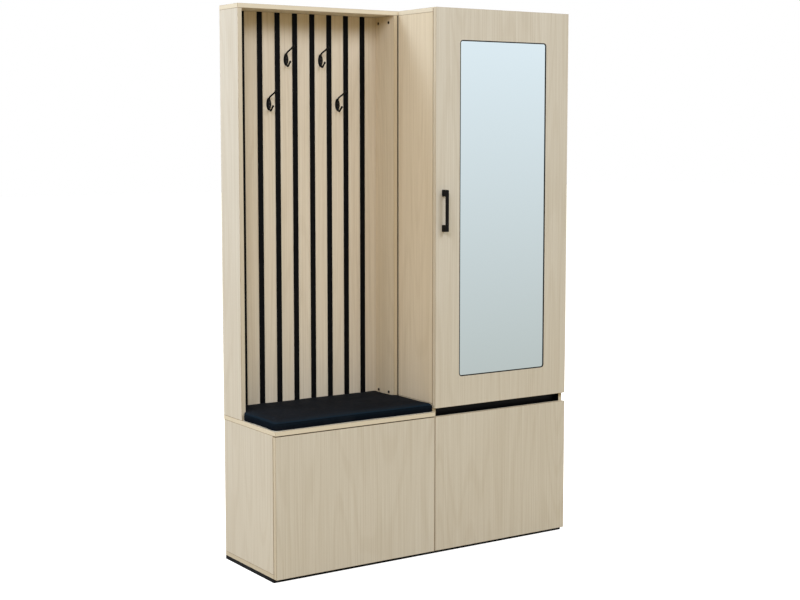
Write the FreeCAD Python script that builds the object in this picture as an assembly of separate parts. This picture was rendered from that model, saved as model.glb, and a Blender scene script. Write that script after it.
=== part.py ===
import FreeCAD, Part
import math
import os

# Hall stand with bench. A padded bench unit carries a shallow coat niche with slats and hooks.
# Beside it a shoe unit carries a tall unit with a mirror door. Millimetres, +Z up, front to -Y.
# The origin is on the floor, under the middle of the overall box.

# Overall sizes
width = 1280.0
height = 2000.0
depth = 385.0
bench_unit_width = 666.0
bench_underside = 518.0
grip_gap = 29.0
niche_depth = 140.0
niche_joint_gap = 3.0

# Boards and plinth
board = 16.0
back_sheet = 3.0
back_sheet_margin = 2.0
edge_ease = 0.8
plinth_height = 14.0
plinth_strip = 60.0

# Doors
door_board = 16.0
door_top_reveal = 2.5
door_seam = 3.0

# Cup hinges
cup_radius = 17.5
cup_depth = 12.0
cup_floor = 1.1
cup_wall = 1.4
cup_edge = 3.0
cup_play = 0.1
flange_thickness = 1.2
flange_height = 62.0
flange_corner = 4.0
hinge_pin_radius = 1.0
hinge_pin_hold = 3.0
hinge_pin_play = 0.05
hinge_eye_wall = 0.95
hinge_eye_play = 0.6
arm_thickness = 2.5
arm_width = 8.0
arm_side_play = 1.0
arm_door_play = 2.0
plate_least_thickness = 1.2
plate_setback = 14.0
plate_length = 40.0
plate_height = 46.0
plate_corner = 5.0
swing_play = 0.5
hinge_end_distance = 100.0

# Mirror, bead and handle on the tall door
mirror_side_margin = 110.0
mirror_top_margin = 116.0
mirror_bottom_margin = 112.0
mirror_corner = 9.0
mirror_thickness = 4.0
mirror_recess = 2.0
bead_width = 3.0
bead_recess = 0.8
handle_spacing = 128.0
handle_foot = 24.0
handle_width = 10.0
handle_bar = 8.0
handle_projection = 30.0
handle_outer_corner = 5.0
handle_inner_corner = 3.0
handle_side_distance = 33.0
handle_centre_height = 1271.0
handle_screw_radius = 2.0
handle_screw_reach = 10.0
handle_screw_head_radius = 4.0
handle_screw_head = 2.5

# Grip profile over the shoe door
grip_recess_depth = 26.0
grip_lip = 18.0
grip_wall = 1.6

# Niche slats
slat_count = 8
slat_width = 21.0
slat_thickness = 3.0

# Double coat hooks
hook_plate_width = 20.0
hook_plate_height = 46.0
hook_plate_thickness = 5.0
hook_plate_face_share = 0.78
hook_arm_radius = 3.2
hook_plate_sides = 24
hook_arm_sides = 12
hook_bend_steps = 5
hook_ball_steps = 6
hook_ball_end_share = 0.92
hook_root_share = 0.26
hook_upper_reach = 56.0
hook_upper_rise = 47.0
hook_upper_shoulder_bend = 14.0
hook_upper_tip_bend = 18.0
hook_upper_ball = 5.0
hook_upper_shoulder_shares = (0.11, 0.52)
hook_upper_knee_shares = (0.72, 0.80)
hook_lower_reach = 32.0
hook_lower_tip_drop = 9.0
hook_lower_drop = 29.0
hook_lower_bend = 7.0
hook_lower_ball = 4.2
hook_lower_knee_share = 0.38
hook_fields = (2, 3, 5, 6)
hook_upper_row_drop = 183.0
hook_row_spacing = 161.0
hook_row_shares = (1, 0, 0, 1)
hook_screw_radius = 1.75
hook_screw_length = 16.0
hook_screw_head_radius = 2.8
hook_screw_head = 1.2
hook_screw_shares = (-0.13, 0.13)

# Screws between the units
unit_screw_radius = 3.0
unit_screw_reach = 11.0
unit_screw_head_radius = 5.5
unit_screw_head = 2.0
niche_screw_top_drop = 40.0
niche_screw_bench_rise = 36.0
unit_screw_depth_shares = (0.25, 0.75)
bench_screw_height_shares = (0.22, 0.78)

# Dowels in the board joints
dowel_radius = 4.0
dowel_face_depth = 10.0
dowel_end_depth = 20.0
dowel_end_play = 0.5
dowel_shares = (0.15, 0.85)
dowel_second_shares = (0.30, 0.70)

# Shelves and their pins
tall_shelf_shares = (0.27, 0.53, 0.77)
bench_shelf_share = 0.50
shoe_shelf_share = 0.44
shelf_setback = 20.0
shelf_side_play = 1.0
shelf_back_play = 2.0
shelf_pin_radius = 2.5
shelf_pin_seat = 0.5
shelf_pin_hold = 6.0
shelf_pin_reach = 8.0
shelf_pin_shares = (0.14, 0.86)

# Push latch behind the bench door
latch_width = 13.0
latch_height = 18.0
latch_length = 62.0
latch_drop = 34.0
latch_wall = 3.0
latch_corner = 2.0
plunger_radius = 4.0
plunger_play = 0.1
plunger_door_play = 0.4
plunger_travel = 2.5
plunger_end_play = 1.0
plunger_tip_ease = 1.0

# Door bumpers
bumper_radius = 4.0
bumper_door_play = 0.5
bumper_end_distance = 32.0

# Cushion
cushion_front_inset = 8.0
cushion_side_inset = 2.0
cushion_panel_play = 1.5
cushion_back_play = 1.0
cushion_edge_height = 27.0
cushion_crown_height = 39.0
cushion_side_bulge = 4.0
cushion_top_inset = 5.0
cushion_draw_in = 5.0
cushion_end_height_share = 0.5
cushion_crown_power = 0.4
cushion_steps = 12

# One overrun for every cut, and the play of a screw, dowel or pin in its hole
overrun = 5.0
hole_play = 0.05

# Flat flanks round a small peg and round a hinge cup
peg_sides = 8
cup_sides = 20

V = FreeCAD.Vector

# Hinge sizes that follow from the cup and the boards
hinge_eye_radius = hinge_pin_radius + hinge_pin_play + hinge_eye_wall
pin_inset = cup_edge + cup_wall + hinge_eye_play + hinge_eye_radius
pin_depth = cup_depth - cup_floor - hinge_eye_play - hinge_eye_radius
plate_thickness = max(plate_least_thickness, pin_inset + pin_depth + arm_door_play - board)
door_gap = math.hypot(pin_inset, pin_depth) - pin_depth + swing_play
pin_forward = door_gap + pin_depth

# Planes that the units share
left = -width / 2
right = width / 2
split = left + bench_unit_width
rear = (depth + handle_projection) / 2
front = rear - depth
door_back = front + door_board
carcass_front = door_back + door_gap
carcass_rear = rear - back_sheet
side_foot = plinth_height + board
bench_surface = bench_underside + board
tall_foot = bench_underside + grip_gap
tall_floor = tall_foot + board
roof_underside = height - board
niche_front = rear - niche_depth
niche_face = rear - board
niche_right = split - niche_joint_gap
niche_inner = (left + board, niche_right - board)
low_door_top = bench_underside - door_top_reveal

pieces = {}


def box(x_span, y_span, z_span):
    corner = V(x_span[0], y_span[0], z_span[0])
    return Part.makeBox(x_span[1] - x_span[0], y_span[1] - y_span[0], z_span[1] - z_span[0], corner)


def panel(x_span, y_span, z_span):
    """A board with its edges eased."""
    plain = box(x_span, y_span, z_span)
    return plain.makeChamfer(edge_ease, plain.Edges)


def rod(start, end, radius):
    along = end - start
    return Part.makeCylinder(radius, along.Length, start, along)


def flat_face(points):
    return Part.Face(Part.makePolygon(points + points[:1]))


def ring(middle, along, half_width, half_height, sides):
    """The corners of a ring across a direction, on an ellipse or a circle."""
    turn = FreeCAD.Rotation(V(0, 0, 1), along)
    corners = []
    for index in range(sides):
        angle = math.pi * (2 * index + 1) / sides
        corner = V(half_width * math.cos(angle), half_height * math.sin(angle), 0)
        corners.append(middle + turn.multVec(corner))
    return corners


def faceted_solid(rings):
    """A closed solid whose flat faces join each ring of corners to the next."""
    faces = [flat_face(rings[0]), flat_face(rings[-1])]
    for near, far in zip(rings, rings[1:]):
        for index in range(len(near)):
            faces.append(flat_face([near[index - 1], near[index], far[index], far[index - 1]]))
    return Part.Solid(Part.Shell(faces))


def peg(start, end, radius, sides=peg_sides):
    """A straight bar with flat flanks, as large as fits a round bar of the radius."""
    return flat_face(ring(start, end - start, radius, radius, sides)).extrude(end - start)


def socket(start, end, radius, sides=peg_sides):
    """A hole with flat flanks that a round bar of the radius just fits."""
    return peg(start, end, radius / math.cos(math.pi / sides), sides)


def screw(seat, tip, radius, head_top, head_radius):
    return peg(seat, tip, radius).fuse(peg(seat, head_top, head_radius)).removeSplitter()


def round_corner(before, corner, after, radius):
    """The start, middle and end of the arc that rounds a corner."""
    to_before = (before - corner).normalize()
    to_after = (after - corner).normalize()
    half_angle = to_before.getAngle(to_after) / 2
    tangent = radius / math.tan(half_angle)
    inward = (to_before + to_after).normalize()
    middle = corner + inward * (radius / math.sin(half_angle) - radius)
    return corner + to_before * tangent, middle, corner + to_after * tangent


def bent_path(points, radii):
    """Straight runs joined by tangent arcs at the inner points."""
    runs = []
    start = points[0]
    for before, corner, after, radius in zip(points, points[1:], points[2:], radii):
        first, middle, last = round_corner(before, corner, after, radius)
        runs += [Part.LineSegment(start, first), Part.Arc(first, middle, last)]
        start = last
    runs.append(Part.LineSegment(start, points[-1]))
    return Part.Wire([run.toShape() for run in runs])


def rounded_face(points, radii):
    """A flat face whose corners are rounded, each by its own radius."""
    count = len(points)
    arcs = []
    for index, radius in enumerate(radii):
        arcs.append(round_corner(points[index - 1], points[index], points[(index + 1) % count], radius))
    edges = []
    for index, (first, middle, last) in enumerate(arcs):
        edges.append(Part.Arc(first, middle, last).toShape())
        edges.append(Part.LineSegment(last, arcs[(index + 1) % count][0]).toShape())
    return Part.Face(Part.Wire(edges))


def trimmed_box(x_span, y_span, z_span, along, cut):
    """A box whose four edges along one direction are cut off."""
    plain = box(x_span, y_span, z_span)
    edges = []
    for edge in plain.Edges:
        across = edge.tangentAt(edge.FirstParameter).cross(along)
        if round(across.Length) == 0:
            edges.append(edge)
    return plain.makeChamfer(cut, edges)


def upright_slab(x_span, y_span, z_span, radius):
    """A slab facing the front, with rounded corners."""
    low, high = x_span
    foot, top = z_span
    y = y_span[0]
    points = [V(low, y, foot), V(high, y, foot), V(high, y, top), V(low, y, top)]
    return rounded_face(points, [radius] * len(points)).extrude(V(0, y_span[1] - y, 0))


def side_slab(x_span, y_span, z_span, radius):
    """A slab facing sideways, with rounded corners."""
    low, high = y_span
    foot, top = z_span
    x = x_span[0]
    points = [V(x, low, foot), V(x, high, foot), V(x, high, top), V(x, low, top)]
    return rounded_face(points, [radius] * len(points)).extrude(V(x_span[1] - x, 0, 0))


def share_of(span, share):
    return span[0] + share * (span[1] - span[0])


def drill(names, tools):
    for name in names:
        pieces[name] = pieces[name].cut(tools)


# Plinth
def make_plinth():
    front_span = (carcass_front, carcass_front + plinth_strip)
    rear_span = (carcass_rear - plinth_strip, carcass_rear)
    middle_span = (front_span[1], rear_span[0])
    heights = (0, plinth_height)
    pieces["plinth_front"] = panel((left, right), front_span, heights)
    pieces["plinth_rear"] = panel((left, right), rear_span, heights)
    pieces["plinth_left"] = panel((left, left + plinth_strip), middle_span, heights)
    pieces["plinth_right"] = panel((right - plinth_strip, right), middle_span, heights)


# Board units
def make_unit(prefix, x_span, foot, side_top):
    """A bottom board, two sides that stand on it, and a thin sheet on the back."""
    y_span = (carcass_front, carcass_rear)
    side_span = (foot + board, side_top)
    pieces[prefix + "_bottom_board"] = panel(x_span, y_span, (foot, foot + board))
    pieces[prefix + "_left_side"] = panel((x_span[0], x_span[0] + board), y_span, side_span)
    pieces[prefix + "_right_side"] = panel((x_span[1] - board, x_span[1]), y_span, side_span)


def make_back_sheet(prefix, x_span, z_span):
    sheet_x = (x_span[0] + back_sheet_margin, x_span[1] - back_sheet_margin)
    sheet_z = (z_span[0] + back_sheet_margin, z_span[1] - back_sheet_margin)
    pieces[prefix + "_back_sheet"] = box(sheet_x, (carcass_rear, rear), sheet_z)


def make_units():
    make_unit("bench", (left, split), plinth_height, bench_underside)
    pieces["bench_top"] = panel((left, split), (front, rear), (bench_underside, bench_surface))
    make_back_sheet("bench", (left, split), (plinth_height, bench_underside))
    make_unit("shoe", (split, right), plinth_height, tall_foot)
    make_back_sheet("shoe", (split, right), (plinth_height, tall_foot))
    make_unit("tall", (split, right), tall_foot, roof_underside)
    pieces["tall_top_board"] = panel((split, right), (carcass_front, carcass_rear), (roof_underside, height))
    make_back_sheet("tall", (split, right), (tall_foot, height))


def make_grip_profile():
    """A trough between the shoe unit's sides, open to the front, for fingers behind the door's top edge."""
    x_span = (split + board, right - board)
    y_span = (carcass_front, carcass_front + grip_recess_depth)
    z_span = (bench_underside - grip_lip, tall_foot)
    hollow_x = (x_span[0] + grip_wall, x_span[1] - grip_wall)
    hollow_y = (y_span[0] - overrun, y_span[1] - grip_wall)
    hollow_z = (z_span[0] + grip_wall, z_span[1] - grip_wall)
    pieces["grip_profile"] = box(x_span, y_span, z_span).cut(box(hollow_x, hollow_y, hollow_z))


# Niche
def make_niche():
    """The right side stands a little in from the end of the top board, which leaves a dark joint."""
    side_span = (bench_surface, roof_underside)
    y_span = (niche_front, rear)
    pieces["niche_left_side"] = panel((left, niche_inner[0]), y_span, side_span)
    pieces["niche_right_side"] = panel((niche_inner[1], niche_right), y_span, side_span)
    pieces["niche_top_board"] = panel((left, split), y_span, (roof_underside, height))
    pieces["niche_back_panel"] = panel(niche_inner, (niche_face, rear), side_span)
    for index in range(slat_count):
        start = slat_start(index)
        y_slat = (niche_face - slat_thickness, niche_face)
        pieces["slat_%d" % (index + 1)] = panel((start, start + slat_width), y_slat, side_span)


def field_width():
    """The light field between two slats, the same at both ends of the row."""
    return (niche_inner[1] - niche_inner[0] - slat_count * slat_width) / (slat_count + 1)


def slat_start(index):
    return niche_inner[0] + field_width() + index * (field_width() + slat_width)


def hook_place(number):
    """The middle of a hook's plate on the face of the back panel."""
    x = slat_start(hook_fields[number]) - field_width() / 2
    drop = hook_upper_row_drop + hook_row_shares[number] * hook_row_spacing
    return V(x, niche_face, height - drop)


def make_limb(points, bends, ball):
    """A bent round arm that swells into a ball round its last point."""
    rings = []

    def add_ring(middle, along, radius):
        rings.append(ring(middle, along, radius, radius, hook_arm_sides))

    for edge in bent_path(points, bends).OrderedEdges:
        steps = hook_bend_steps if isinstance(edge.Curve, Part.Circle) else 1
        span = (edge.FirstParameter, edge.LastParameter)
        for step in range(steps):
            place = share_of(span, step / steps)
            add_ring(edge.valueAt(place), edge.tangentAt(place), hook_arm_radius)
    along = (points[-1] - points[-2]).normalize()
    neck = math.asin(hook_arm_radius / ball)
    for step in range(hook_ball_steps + 1):
        turn = share_of((neck, hook_ball_end_share * math.pi), step / hook_ball_steps)
        add_ring(points[-1] - along * (ball * math.cos(turn)), along, ball * math.sin(turn))
    return faceted_solid(rings)


def make_hook(number):
    place = hook_place(number)

    def at(out, rise):
        return V(place.x, niche_face - out, place.z + rise)

    def oval(out, share):
        half_width = share * hook_plate_width / 2
        half_height = share * hook_plate_height / 2
        return ring(at(out, 0), V(0, -1, 0), half_width, half_height, hook_plate_sides)

    plate = faceted_solid([oval(0, 1), oval(hook_plate_thickness, hook_plate_face_share)])
    root_out = hook_plate_thickness / 2
    root_rise = hook_root_share * hook_plate_height

    def upper_point(shares):
        return at(shares[0] * hook_upper_reach, shares[1] * hook_upper_rise)

    upper_tip = at(hook_upper_reach, hook_upper_rise)
    upper_knees = [upper_point(hook_upper_shoulder_shares), upper_point(hook_upper_knee_shares)]
    upper = [at(root_out, root_rise)] + upper_knees + [upper_tip]
    lower_tip = at(hook_lower_reach, -hook_lower_tip_drop)
    lower_knee = at(hook_lower_knee_share * hook_lower_reach, -hook_lower_drop)
    lower = [at(root_out, -root_rise), lower_knee, lower_tip]
    limbs = [
        make_limb(upper, (hook_upper_shoulder_bend, hook_upper_tip_bend), hook_upper_ball),
        make_limb(lower, (hook_lower_bend,), hook_lower_ball),
    ]
    wall = box((place.x - hook_plate_width, place.x + hook_plate_width), (niche_face, rear),
               (place.z - hook_plate_height, place.z + hook_plate_height))
    return plate.multiFuse(limbs).cut(wall).removeSplitter()


def make_hooks():
    screws = []
    for number in range(len(hook_fields)):
        name = "coat_hook_%d" % (number + 1)
        pieces[name] = make_hook(number)
        place = hook_place(number)
        holes = []
        for share in hook_screw_shares:
            head_seat = V(place.x, niche_face - hook_plate_thickness, place.z + share * hook_plate_height)
            tip = head_seat + V(0, hook_screw_length, 0)
            head_top = head_seat - V(0, hook_screw_head, 0)
            screws.append(screw(head_seat, tip, hook_screw_radius, head_top, hook_screw_head_radius))
            hole_end = tip + V(0, overrun, 0)
            holes.append(socket(head_seat - V(0, overrun, 0), hole_end, hook_screw_radius + hole_play))
        drill([name, "niche_back_panel"], holes)
    pieces["hook_screws"] = Part.makeCompound(screws)


# Doors
def make_doors():
    y_span = (front, door_back)
    bench_x = (left, split - door_seam / 2)
    shoe_x = (split + door_seam / 2, right)
    low_z = (plinth_height, low_door_top)
    pieces["bench_door"] = panel(bench_x, y_span, low_z)
    pieces["shoe_door"] = panel(shoe_x, y_span, low_z)
    pieces["tall_door"] = panel((split, right), y_span, (tall_foot, height))


def make_mirror():
    """The mirror lies in a pocket of the door, with a thin dark bead round it."""
    glass_x = (split + mirror_side_margin, right - mirror_side_margin)
    glass_z = (tall_foot + mirror_bottom_margin, height - mirror_top_margin)
    pocket_x = (glass_x[0] - bead_width, glass_x[1] + bead_width)
    pocket_z = (glass_z[0] - bead_width, glass_z[1] + bead_width)
    bottom = front + mirror_recess + mirror_thickness
    pocket = upright_slab(pocket_x, (front - overrun, bottom), pocket_z, mirror_corner + bead_width)
    ring = upright_slab(pocket_x, (front + bead_recess, bottom), pocket_z, mirror_corner + bead_width)
    hole = upright_slab(glass_x, (front - overrun, bottom + overrun), glass_z, mirror_corner)
    pieces["tall_door"] = pieces["tall_door"].cut(pocket)
    pieces["mirror_bead"] = ring.cut(hole)
    pieces["mirror"] = upright_slab(glass_x, (front + mirror_recess, bottom), glass_z, mirror_corner)


def make_handle():
    """A bar on two feet, bent from one flat profile, screwed on from behind the door."""
    x = split + handle_side_distance
    outer = (handle_centre_height - (handle_spacing + handle_foot) / 2,
             handle_centre_height + (handle_spacing + handle_foot) / 2)
    inner = (outer[0] + handle_foot, outer[1] - handle_foot)
    y_bar = front - handle_projection
    y_clear = y_bar + handle_bar
    bar_x = (x - handle_width / 2, x + handle_width / 2)
    y_behind = front + handle_outer_corner
    bar = side_slab(bar_x, (y_bar, y_behind), outer, handle_outer_corner)
    gap = side_slab(bar_x, (y_clear, front + overrun), inner, handle_inner_corner)
    behind = box(bar_x, (front, y_behind), outer)
    pieces["door_handle"] = bar.cut([gap, behind])
    screws = []
    holes = []
    for side in (-1, 1):
        seat = V(x, door_back, handle_centre_height + side * handle_spacing / 2)
        tip = seat - V(0, door_board + handle_screw_reach, 0)
        head = seat + V(0, handle_screw_head, 0)
        screws.append(screw(seat, tip, handle_screw_radius, head, handle_screw_head_radius))
        holes.append(socket(head, tip - V(0, hole_play, 0), handle_screw_radius + hole_play))
    pieces["handle_screws"] = Part.makeCompound(screws)
    drill(["tall_door", "door_handle"], holes)


# Cup hinges
def hinge_point(outer_x, inward, u, v, z):
    """A point u inwards from a unit's outer face and v forwards from its front edges."""
    return V(outer_x + inward * u, carcass_front - v, z)


def make_hinge(outer_x, inward, z):
    """The moving cup with its pin, the fixed arm, the plate under the arm, and the bore in the door."""
    def at(u, v, rise):
        return hinge_point(outer_x, inward, u, v, z + rise)

    slot_half = arm_width / 2 + arm_side_play
    cup_middle = cup_edge + cup_radius
    slot_u = (pin_inset - hinge_eye_radius - hinge_eye_play, cup_middle + cup_radius - 2 * cup_wall)
    slot_top = door_gap + cup_depth - cup_floor
    arm_u = (board + plate_thickness, board + plate_thickness + arm_thickness)
    arm_end = -(plate_setback + plate_length)
    leg_low = pin_forward - arm_thickness / 2
    leg_high = pin_forward + arm_thickness / 2

    cup = peg(at(cup_middle, door_gap, 0), at(cup_middle, door_gap + cup_depth, 0), cup_radius, cup_sides)
    flange_low = at(slot_u[0], door_gap, -flange_height / 2)
    flange_high = at(cup_middle + cup_radius, door_gap, flange_height / 2)
    flange_x = sorted((flange_low.x, flange_high.x))
    flange_y = (flange_low.y, flange_low.y + flange_thickness)
    flange = trimmed_box(flange_x, flange_y, (flange_low.z, flange_high.z), V(0, 1, 0), flange_corner)
    slot_start = at(slot_u[0], -overrun, -slot_half)
    slot_end = at(slot_u[1], slot_top, slot_half)
    slot = box(sorted((slot_start.x, slot_end.x)), (slot_end.y, slot_start.y), (slot_start.z, slot_end.z))
    pin_half = slot_half + hinge_pin_hold
    pin = rod(at(pin_inset, pin_forward, -pin_half), at(pin_inset, pin_forward, pin_half), hinge_pin_radius)
    moving = cup.fuse(flange).cut(slot).fuse(pin).removeSplitter()

    leg = [(pin_inset, leg_high), (arm_u[1], leg_high), (arm_u[1], arm_end), (arm_u[0], arm_end),
           (arm_u[0], leg_low), (pin_inset, leg_low)]
    outline = [at(u, v, -arm_width / 2) for u, v in leg]
    bar = flat_face(outline).extrude(V(0, 0, arm_width))
    eye_low = at(pin_inset, pin_forward, -arm_width / 2)
    eye_high = at(pin_inset, pin_forward, arm_width / 2)
    spare = V(0, 0, overrun)
    bore = socket(eye_low - spare, eye_high + spare, hinge_pin_radius + hinge_pin_play)
    arm = bar.fuse(peg(eye_low, eye_high, hinge_eye_radius)).cut(bore).removeSplitter()

    plate_near = at(board, -plate_setback, -plate_height / 2)
    plate_far = at(board + plate_thickness, arm_end, plate_height / 2)
    plate_x = sorted((plate_near.x, plate_far.x))
    plate_y = (plate_near.y, plate_far.y)
    plate = trimmed_box(plate_x, plate_y, (plate_near.z, plate_far.z), V(1, 0, 0), plate_corner)

    bore_mouth = at(cup_middle, -overrun, 0)
    bore_end = at(cup_middle, door_gap + cup_depth + cup_play, 0)
    door_bore = socket(bore_mouth, bore_end, cup_radius + cup_play, cup_sides)
    return moving, arm, plate, door_bore


def make_hinges():
    low_heights = (plinth_height + hinge_end_distance, low_door_top - hinge_end_distance)
    tall_heights = (tall_foot + hinge_end_distance, (tall_foot + height) / 2, height - hinge_end_distance)
    arms = []
    plates = []
    for prefix, outer_x, inward, heights in (
        ("bench", left, 1, low_heights),
        ("shoe", right, -1, low_heights),
        ("tall", right, -1, tall_heights),
    ):
        made = [make_hinge(outer_x, inward, z) for z in heights]
        pieces[prefix + "_hinge_cups"] = Part.makeCompound([moving for moving, arm, plate, bore in made])
        arms += [arm for moving, arm, plate, bore in made]
        plates += [plate for moving, arm, plate, bore in made]
        drill([prefix + "_door"], [bore for moving, arm, plate, bore in made])
    pieces["hinge_arms"] = Part.makeCompound(arms)
    pieces["hinge_plates"] = Part.makeCompound(plates)


# Push latch and bumpers
def make_latch():
    x_span = (split - board - latch_width, split - board)
    y_span = (carcass_front, carcass_front + latch_length)
    z_middle = bench_underside - latch_drop
    z_span = (z_middle - latch_height / 2, z_middle + latch_height / 2)
    x_middle = (x_span[0] + x_span[1]) / 2
    bore_end = V(x_middle, y_span[1] - latch_wall, z_middle)
    bore_mouth = V(x_middle, y_span[0] - overrun, z_middle)
    shell = trimmed_box(x_span, y_span, z_span, V(0, 1, 0), latch_corner)
    pieces["latch_housing"] = shell.cut(socket(bore_mouth, bore_end, plunger_radius + plunger_play))
    tip = V(x_middle, door_back + plunger_door_play, z_middle)
    tail = bore_end - V(0, plunger_travel + plunger_end_play, 0)
    stem = peg(tip, tail, plunger_radius)
    tip_edges = [edge for edge in stem.Edges if edge.BoundBox.YMax < tip.y + plunger_tip_ease]
    pieces["latch_plunger"] = stem.makeChamfer(plunger_tip_ease, tip_edges)


def make_bumpers():
    dots = []
    for x, z_span in (
        (split - board / 2, (plinth_height, low_door_top)),
        (split + door_seam / 2 + board / 2, (plinth_height, low_door_top)),
        (split + board / 2, (tall_foot, height)),
    ):
        for z in (z_span[0] + bumper_end_distance, z_span[1] - bumper_end_distance):
            seat = V(x, carcass_front, z)
            dots.append(peg(seat, seat - V(0, door_gap - bumper_door_play, 0), bumper_radius))
    pieces["door_bumpers"] = Part.makeCompound(dots)


# Shelves, pins, screws and dowels
def make_shelf(name, x_inner, z_inner, share, sides):
    """A loose shelf on four pins, and the pins' holes in the sides."""
    foot = share_of(z_inner, share)
    x_span = (x_inner[0] + shelf_side_play, x_inner[1] - shelf_side_play)
    y_span = (carcass_front + shelf_setback, carcass_rear - shelf_back_play)
    pieces[name] = panel(x_span, y_span, (foot, foot + board))
    pins = []
    for face, inward, side in ((x_inner[0], 1, sides[0]), (x_inner[1], -1, sides[1])):
        holes = []
        for depth_share in shelf_pin_shares:
            mouth = V(face, share_of(y_span, depth_share), foot + shelf_pin_seat - shelf_pin_radius)
            buried = mouth - V(inward * shelf_pin_hold, 0, 0)
            nose = mouth + V(inward * shelf_pin_reach, 0, 0)
            clear_x = sorted((face, face + inward * (shelf_pin_reach + overrun)))
            clear_y = (mouth.y - shelf_pin_radius, mouth.y + shelf_pin_radius)
            clear = box(clear_x, clear_y, (foot, foot + shelf_pin_radius))
            pins.append(peg(buried, nose, shelf_pin_radius).cut(clear))
            hole_end = buried - V(inward * hole_play, 0, 0)
            holes.append(socket(nose, hole_end, shelf_pin_radius + hole_play))
        drill([side], holes)
    return pins


def make_shelves():
    pins = []
    low_inner = (side_foot, bench_underside)
    tall_inner = (tall_floor, roof_underside)
    left_x = (left + board, split - board)
    right_x = (split + board, right - board)
    bench_sides = ("bench_left_side", "bench_right_side")
    shoe_sides = ("shoe_left_side", "shoe_right_side")
    tall_sides = ("tall_left_side", "tall_right_side")
    pins += make_shelf("bench_shelf", left_x, low_inner, bench_shelf_share, bench_sides)
    pins += make_shelf("shoe_shelf", right_x, low_inner, shoe_shelf_share, shoe_sides)
    for index, share in enumerate(tall_shelf_shares):
        pins += make_shelf("tall_shelf_%d" % (index + 1), right_x, tall_inner, share, tall_sides)
    pieces["shelf_pins"] = Part.makeCompound(pins)


def make_unit_screws():
    """Screws that tie the bench unit to the shoe unit and the niche to the tall unit."""
    niche_rows = (height - niche_screw_top_drop, bench_surface + niche_screw_bench_rise)
    bench_rows = [share_of((side_foot, bench_underside), share) for share in bench_screw_height_shares]
    screws = []
    niche_y = (niche_front, rear)
    bench_y = (carcass_front, carcass_rear)
    for heights, seat_x, y_span, sides in (
        (niche_rows, niche_inner[1], niche_y, ["niche_right_side", "tall_left_side"]),
        (bench_rows, split - board, bench_y, ["bench_right_side", "shoe_left_side"]),
    ):
        holes = []
        for z in heights:
            for share in unit_screw_depth_shares:
                seat = V(seat_x, share_of(y_span, share), z)
                tip = V(split + unit_screw_reach, seat.y, z)
                head = seat - V(unit_screw_head, 0, 0)
                screws.append(screw(seat, tip, unit_screw_radius, head, unit_screw_head_radius))
                holes.append(socket(head, tip + V(hole_play, 0, 0), unit_screw_radius + hole_play))
        drill(sides, holes)
    pieces["unit_screws"] = Part.makeCompound(screws)


def make_dowels():
    """Dowels between the end of an upright side and the face of a flat board."""
    carcass_y = (carcass_front, carcass_rear)
    niche_y = (niche_front, rear)
    low_x = (left, split)
    tall_x = (split, right)
    niche_x = (left, niche_right)
    joints = (
        ("bench", "bench_bottom_board", low_x, carcass_y, side_foot, 1, dowel_shares),
        ("shoe", "shoe_bottom_board", tall_x, carcass_y, side_foot, 1, dowel_shares),
        ("tall", "tall_bottom_board", tall_x, carcass_y, tall_floor, 1, dowel_shares),
        ("bench", "bench_top", low_x, carcass_y, bench_underside, -1, dowel_shares),
        ("shoe", "tall_bottom_board", tall_x, carcass_y, tall_foot, -1, dowel_second_shares),
        ("tall", "tall_top_board", tall_x, carcass_y, roof_underside, -1, dowel_shares),
        ("niche", "bench_top", niche_x, niche_y, bench_surface, 1, dowel_shares),
        ("niche", "niche_top_board", niche_x, niche_y, roof_underside, -1, dowel_shares),
    )
    dowels = []
    for prefix, flat_board, x_span, y_span, plane, up, shares in joints:
        for x, side in ((x_span[0] + board / 2, "_left_side"), (x_span[1] - board / 2, "_right_side")):
            holes = []
            for share in shares:
                middle = V(x, share_of(y_span, share), plane)
                face_end = middle - V(0, 0, up * dowel_face_depth)
                side_end = middle + V(0, 0, up * dowel_end_depth)
                dowels.append(peg(face_end, side_end, dowel_radius))
                spare = V(0, 0, up * dowel_end_play)
                holes.append(socket(face_end - spare, side_end + spare, dowel_radius + hole_play))
            drill([prefix + side, flat_board], holes)
    pieces["dowels"] = Part.makeCompound(dowels)


# Cushion
def cushion_section(x, y_span, height_share, draw_share):
    """A flat bottom, two swollen sides and a crowned top, across the bench at one place."""
    draw = draw_share * cushion_draw_in
    near = y_span[0] + cushion_side_bulge + draw
    far = y_span[1] - cushion_side_bulge - draw
    edge = bench_surface + height_share * cushion_edge_height
    crown = bench_surface + height_share * cushion_crown_height
    middle = (bench_surface + edge) / 2
    near_top = V(x, near + cushion_top_inset, edge)
    far_top = V(x, far - cushion_top_inset, edge)
    near_foot = V(x, near, bench_surface)
    far_foot = V(x, far, bench_surface)
    curves = [
        Part.Arc(near_foot, V(x, near - cushion_side_bulge, middle), near_top),
        Part.Arc(near_top, V(x, (near + far) / 2, crown), far_top),
        Part.Arc(far_top, V(x, far + cushion_side_bulge, middle), far_foot),
        Part.LineSegment(far_foot, near_foot),
    ]
    return Part.Wire([curve.toShape() for curve in curves])


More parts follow.
